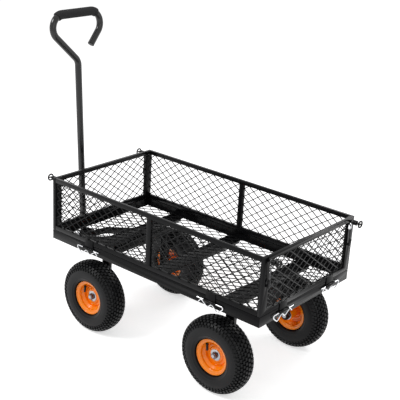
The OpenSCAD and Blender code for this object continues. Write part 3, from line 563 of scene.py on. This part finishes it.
low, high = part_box("tyre_rl")
tyre_r, tyre_half = (high[2] - low[2]) / 2, (high[1] - low[1]) / 2
tread = tread_recipe(tyre_r, tyre_half).cook("tread", blocks=BLOCKS, length=BLOCK_L, height=TREAD,
                                             finish=tyre_rubber)
for corner, (end, side) in CORNERS.items():
    low, high = (Vector(v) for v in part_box("tyre_" + corner))
    centre, out, body = (low + high) / 2, Vector((0, side, 0)), "wheel_" + corner
    lift = Matrix.Translation(centre) @ frame_along(out).to_4x4()
    blocks = ([lift @ v.co for v in tread.vertices], [list(p.vertices) for p in tread.polygons])
    tyre_parts = [lathe(carcass(tyre_r, tyre_half), centre, out, 120, True), blocks]
    new_piece("tyre_%s_studded" % corner, mesh_of("tyre", tyre_parts), tyre_rubber, body,
              ["tyre_" + corner], 30)
    new_piece("rim_%s_rolled" % corner, mesh_of("rim", wheel_parts(centre, out)), rim_orange, body,
              ["rim_" + corner], 35)
    softened("bearings_" + corner, body, SMALL_EDGE, chrome_hub)
    softened("valve_" + corner, body, VALVE_EDGE, valve_rubber)

# ---------------------------------------------------------------- handle

LEAN = math.radians(3.4)     # forward lean of the handle at rest
TUBE_R, FOAM_R = 12.5 * MM, 16.5 * MM
LOOP_R, NECK_R = 46 * MM, 40 * MM
GRIP_UP, GRIP_HALF = 845 * MM, 69 * MM
NECK, HOOK, FOAM_TURN = math.radians(47), math.radians(130), math.radians(32)
HOOK_L, FOOT = 58 * MM, 14 * MM
pivot = Vector(JOINTS["handle_tilt"]["pos_m"])
handle_turn = Matrix.Rotation(-LEAN, 3, "Y")


def on_handle(across, up):
    """A point of the handle's own plane, as a point of the cart."""
    return pivot + handle_turn @ Vector((0, across, up))


def arc(centre, radius, start, stop, steps):
    """Points of an arc in the handle's plane."""
    angles = [start + (stop - start) * k / steps for k in range(steps + 1)]
    return [(centre[0] + radius * math.cos(a), centre[1] + radius * math.sin(a)) for a in angles]


quarter = math.pi / 2
loop_up = GRIP_UP - LOOP_R
neck_up = loop_up - (LOOP_R + GRIP_HALF * math.cos(NECK)) / math.sin(NECK)
left_turn, right_turn = (-GRIP_HALF, loop_up), (GRIP_HALF, loop_up)
hook = arc(right_turn, LOOP_R, quarter, quarter - HOOK, 30)
hook_dir = (math.sin(quarter - HOOK), -math.cos(quarter - HOOK))
hook_end = (hook[-1][0] + HOOK_L * hook_dir[0], hook[-1][1] + HOOK_L * hook_dir[1])
route = ([(0, -FOOT)] + arc((-NECK_R, neck_up - NECK_R * math.tan(NECK / 2)), NECK_R, 0, NECK, 12)
         + arc(left_turn, LOOP_R, math.pi + NECK, quarter, 30) + hook + [hook_end])
handle_parts = [tube([on_handle(*p) for p in route], TUBE_R, 28),
                lathe(soft_profile([(-17 * MM, 0), (-17 * MM, 9 * MM), (17 * MM, 9 * MM), (17 * MM, 0)],
                                   1 * MM), pivot, (0, 1, 0), 32)]
new_piece("handle_bent_tube", mesh_of("handle", handle_parts), handle_black, "handle",
          ["handle_tube"], 40)
foam_route = (arc(left_turn, LOOP_R, quarter + FOAM_TURN, quarter, 10)
              + arc(right_turn, LOOP_R, quarter, quarter - FOAM_TURN, 10))
foam_points = [on_handle(*p) for p in foam_route]
edge = 2.5 * MM
ends = [(foam_points[0] - foam_points[1]).normalized(),
        (foam_points[-1] - foam_points[-2]).normalized()]
foam_points = ([foam_points[0] + ends[0] * 0.01 * MM] + [foam_points[0] - ends[0] * 0.8 * MM]
               + foam_points[1:-1] + [foam_points[-1] - ends[1] * 0.8 * MM]
               + [foam_points[-1] + ends[1] * 0.01 * MM])
foam_radii = [FOAM_R - edge] + [FOAM_R] * (len(foam_points) - 2) + [FOAM_R - edge]
grip = new_piece("grip_foam_sleeve", mesh_of("grip", [tube(foam_points, foam_radii, 36)]), grip_foam,
                 "handle", ["handle_grip"], 60)
end_dir = (on_handle(*hook_end) - on_handle(*hook[-1])).normalized()
new_piece("handle_end_plug", mesh_of("plug", [lathe(soft_profile(
    [(0, 0), (0, TUBE_R), (2.5 * MM, TUBE_R), (2.5 * MM, 0)], 1 * MM), on_handle(*hook_end), end_dir)]),
    black_plastic, "handle", ["handle_plug"])

# ---------------------------------------------------------------- spring clips

WIRE_R, WIRE_BEND = 2 * MM, 6 * MM
HINGE_X, HINGE_Y = 275 * MM, 132 * MM      # hinges' distance from the middle of their side
CLIP_HALF, CLIP_DROP = 52 * MM, 22 * MM
# shares of CLIP_HALF along the hinge line and of CLIP_DROP below it
CLIP_WAVE = [(-1, 0), (0.98, 0), (1.03, -0.2), (0.98, -0.5), (0.62, -1.2), (0.17, -0.25),
             (-0.15, -0.94), (-0.66, -0.06), (-0.86, -0.62)]


def clip(at, outward):
    """R-shaped clip: straight leg on the hinge line, rounded end, wavy leg below it."""
    corners = [at + along * CLIP_HALF * outward + Vector((0, 0, up * CLIP_DROP))
               for along, up in CLIP_WAVE]
    return tube(rounded(corners, WIRE_BEND, 6), WIRE_R, 12)


clips = []
for side, along, spread in (("left", (1, 0, 0), HINGE_X), ("right", (1, 0, 0), HINGE_X),
                            ("front", (0, 1, 0), HINGE_Y), ("rear", (0, 1, 0), HINGE_Y)):
    line = Vector(JOINTS[side + "_side_fold"]["pos_m"])
    if along[0]:
        line.x = (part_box("bed_frame")[0][0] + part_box("bed_frame")[1][0]) / 2
    for s in (-1, 1):
        clips.append(clip(line + s * spread * Vector(along), s * Vector(along)))
new_piece("spring_clip_wires", mesh_of("clips", clips), bright_zinc, "bed",
          ["spring_clips"], 60)

# ---------------------------------------------------------------- latches

# lanyard's route and its crimp's foot: distance out from the end post, height over the pin
LANYARD = [(8.2 * MM, -5.9 * MM), (8.2 * MM, -61 * MM)]
CRIMP_FOOT = (5 * MM, -87 * MM)
CRIMP_R, RIVET_DROP = 4.5 * MM, 83 * MM
CORD_R, EYE_R, CORD_BEND = 1.5 * MM, 5.9 * MM, 20 * MM
PIN_REACH = 39.7 * MM        # from the end post's face to the pull ring's outside
RING_WIRE_R, BAR_R, STEM_R = 2.7 * MM, 2.2 * MM, 3 * MM
PIN_TIP_R, PIN_R, PIN_TAPER = 2.6 * MM, 4 * MM, 2 * MM
SHANK_END, STEM_START = 12 * MM, 24 * MM
# millimetres out from the end post's face, and radius
PIN_BARREL = [(11, 0), (11, 8.5), (17, 8.5), (17.6, 7.6), (19, 7.6), (19.6, 8.5), (25, 8.5), (25, 0)]
RIVET = [(0, 0), (0, 4.5), (2, 4.5), (3, 2.5), (5, 2.5), (5, 0)]

for corner, (end, side) in CORNERS.items():
    name = "latch_pin_" + corner
    low, high = (Vector(v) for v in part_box(name))
    axis_point, out = (low + high) / 2, Vector((end, 0, 0))
    outer = high.x if end > 0 else -low.x
    ring_r, wire_r = (high.z - low.z) / 2 - RING_WIRE_R, RING_WIRE_R
    base = Vector((0, axis_point.y, axis_point.z))
    inner = outer - (high.x - low.x)
    face = outer - PIN_REACH
    barrel = [(face + u * MM, r * MM) for u, r in PIN_BARREL]
    shank = [(inner, 0), (inner, PIN_TIP_R), (inner + PIN_TAPER, PIN_R), (face + SHANK_END, PIN_R),
             (face + SHANK_END, 0)]
    ring_u = outer - wire_r
    ring = [base + out * ring_u + Vector((0, ring_r * math.cos(a), ring_r * math.sin(a)))
            for a in [2 * math.pi * k / 40 for k in range(40)]]
    bar = [base + out * ring_u + Vector((0, s * (ring_r - 1 * MM), 0)) for s in (-1, 1)]
    pin_parts = [lathe(soft_profile(barrel, 0.8 * MM), base, out, 36), lathe(shank, base, out, 28),
                 lathe([(face + STEM_START, 0), (face + STEM_START, STEM_R), (ring_u, STEM_R),
                        (ring_u, 0)], base, out, 24),
                 tube(ring, wire_r, 14, closed=True), tube(bar, BAR_R, 12)]
    new_piece(name + "_pull", mesh_of(name, pin_parts), pin_black, "pin_" + corner,
              [name], 40)

    name, body = "lanyard_" + corner, ("front_side" if end < 0 else "rear_side")
    low, high = (Vector(v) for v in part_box(name))
    cord_x = LANYARD[0][0]

    def at(u, up, sideways=0.0):
        """The point u out from the end post's face, up over the pin's axis and sideways of it."""
        return base + out * (face + u) + Vector((0, sideways, up))

    eye = [at(cord_x, EYE_R * math.sin(a), EYE_R * math.cos(a))
           for a in [2 * math.pi * k / 24 for k in range(24)]]
    eye_piece = new_piece(name + "_eye", mesh_of(name, [tube(eye, CORD_R, 12, closed=True)]),
                          grey_cord, body, (), 60)
    top, foot = at(*LANYARD[-1]), at(*CRIMP_FOOT)
    hang = rounded([at(*p) for p in LANYARD], CORD_BEND, 6)[::-1]
    cord = new_piece(name + "_cord", mesh_of(name, [tube(hang, CORD_R, 12)]), grey_cord, body,
                     [name], 60)
    slant = (foot - top).normalized()
    long = (foot - top).length
    crimp = [(0, 0), (0, 0.7 * CRIMP_R), (2 * MM, CRIMP_R), (long - 2 * MM, CRIMP_R),
             (long, 0.7 * CRIMP_R), (long, 0)]
    rivet = [(face + u * MM, r * MM) for u, r in RIVET]
    crimp_parts = [lathe(soft_profile(crimp, 1 * MM), top, slant, 24),
                   lathe(rivet, base - Vector((0, 0, RIVET_DROP)), out, 24)]
    new_piece(name + "_crimp", mesh_of(name, crimp_parts), black_plastic, body, (), 40)


# ---------------------------------------------------------------- floor, light, camera

def pale(name, colour, lift):
    """Pale stage surface. What looks at it straight or in a mirror sees it lifted to plain white."""
    m = bpy.data.materials.new(name)
    m.use_nodes = True
    nodes, links = m.node_tree.nodes, m.node_tree.links
    shader = nodes["Principled BSDF"]
    shader.inputs["Base Color"].default_value = (*colour, 1)
    shader.inputs["Roughness"].default_value = 0.9
    shader.inputs["Specular IOR Level"].default_value = 0.0
    glow = nodes.new("ShaderNodeEmission")
    links.new(looks_straight(nodes, links, lift), glow.inputs["Strength"])
    both = nodes.new("ShaderNodeAddShader")
    links.new(shader.outputs[0], both.inputs[0])
    links.new(glow.outputs[0], both.inputs[1])
    links.new(both.outputs[0], nodes["Material Output"].inputs["Surface"])
    return m


def looks_straight(nodes, links, strength):
    """A strength for camera, mirror and glass rays, and nothing for the rest."""
    path = nodes.new("ShaderNodeLightPath")
    last = path.outputs["Is Camera Ray"]
    for kind in ("Is Glossy Ray", "Is Transmission Ray"):
        either = nodes.new("ShaderNodeMath")
        either.operation = "MAXIMUM"
        links.new(last, either.inputs[0])
        links.new(path.outputs[kind], either.inputs[1])
        last = either.outputs[0]
    times = nodes.new("ShaderNodeMath")
    times.operation = "MULTIPLY"
    times.inputs[1].default_value = strength
    links.new(last, times.inputs[0])
    return times.outputs[0]


FLOOR_HALF = 30.0
FLOOR_LIFT, DOME = 0.58, 0.50
floor_mesh = bpy.data.meshes.new("floor")
floor_mesh.from_pydata([(x * FLOOR_HALF, y * FLOOR_HALF, 0)
                        for x, y in ((-1, -1), (1, -1), (1, 1), (-1, 1))], [], [(0, 1, 2, 3)])
floor = bpy.data.objects.new("floor", floor_mesh)
bpy.context.scene.collection.objects.link(floor)
floor_mesh.materials.append(pale("pale_floor", (0.92, 0.92, 0.92), FLOOR_LIFT))

scene = bpy.context.scene
world = bpy.data.worlds.new("studio")
scene.world = world
world.use_nodes = True
nodes, links = world.node_tree.nodes, world.node_tree.links
nodes.clear()
dome = nodes.new("ShaderNodeBackground")
dome.inputs["Color"].default_value = (1, 1, 1, 1)
dome.inputs["Strength"].default_value = DOME
white = nodes.new("ShaderNodeBackground")
white.inputs["Color"].default_value = (1, 1, 1, 1)
white.inputs["Strength"].default_value = 1.0
mix = nodes.new("ShaderNodeMixShader")
links.new(looks_straight(nodes, links, 1.0), mix.inputs[0])
links.new(dome.outputs[0], mix.inputs[1])
links.new(white.outputs[0], mix.inputs[2])
links.new(mix.outputs[0], nodes.new("ShaderNodeOutputWorld").inputs["Surface"])

low, high = (Vector(v) for v in cad_box)
middle = (low + high) / 2


def lamp(name, place, aim, width, height, power):
    """Soft rectangular lamp."""
    data = bpy.data.lights.new(name, "AREA")
    data.shape, data.size, data.size_y, data.energy = "RECTANGLE", width, height, power
    lamp_object = bpy.data.objects.new(name, data)
    lamp_object.location = place
    lamp_object.rotation_euler = (Vector(aim) - Vector(place)).to_track_quat("-Z", "Y").to_euler()
    scene.collection.objects.link(lamp_object)


lamp("key", (-1.6, -2.6, 3.4), middle, 1.6, 1.2, 78)
lamp("fill", (3.4, -1.4, 1.8), middle, 1.6, 1.6, 9)
lamp("rim_light", (0.4, 3.2, 2.6), middle, 3.0, 0.6, 46)

# The camera stands off the tail's left corner and looks a little down.
FOCAL, SENSOR, SHIFT = 83.13, 36.0, (0.0346, 0.0129)
camera_place = Vector((1.92987, -2.30033, 1.65104))
yaw, pitch, roll = (math.radians(a) for a in (39.84, 21.22, 3.12))
back = Vector((math.sin(yaw) * math.cos(pitch), -math.cos(yaw) * math.cos(pitch), math.sin(pitch)))
right = Vector((0, 0, 1)).cross(back).normalized()
up = back.cross(right)
right, up = (math.cos(roll) * right + math.sin(roll) * up,
             -math.sin(roll) * right + math.cos(roll) * up)
view = Matrix((right, up, back)).transposed().to_4x4()
view.translation = camera_place
camera = bpy.data.cameras.new("camera")
camera.lens, camera.sensor_width = FOCAL, SENSOR
camera.shift_x, camera.shift_y = SHIFT
camera_object = bpy.data.objects.new("camera", camera)
camera_object.matrix_world = view
scene.collection.objects.link(camera_object)
scene.camera = camera_object

scene.view_settings.view_transform = "Standard"
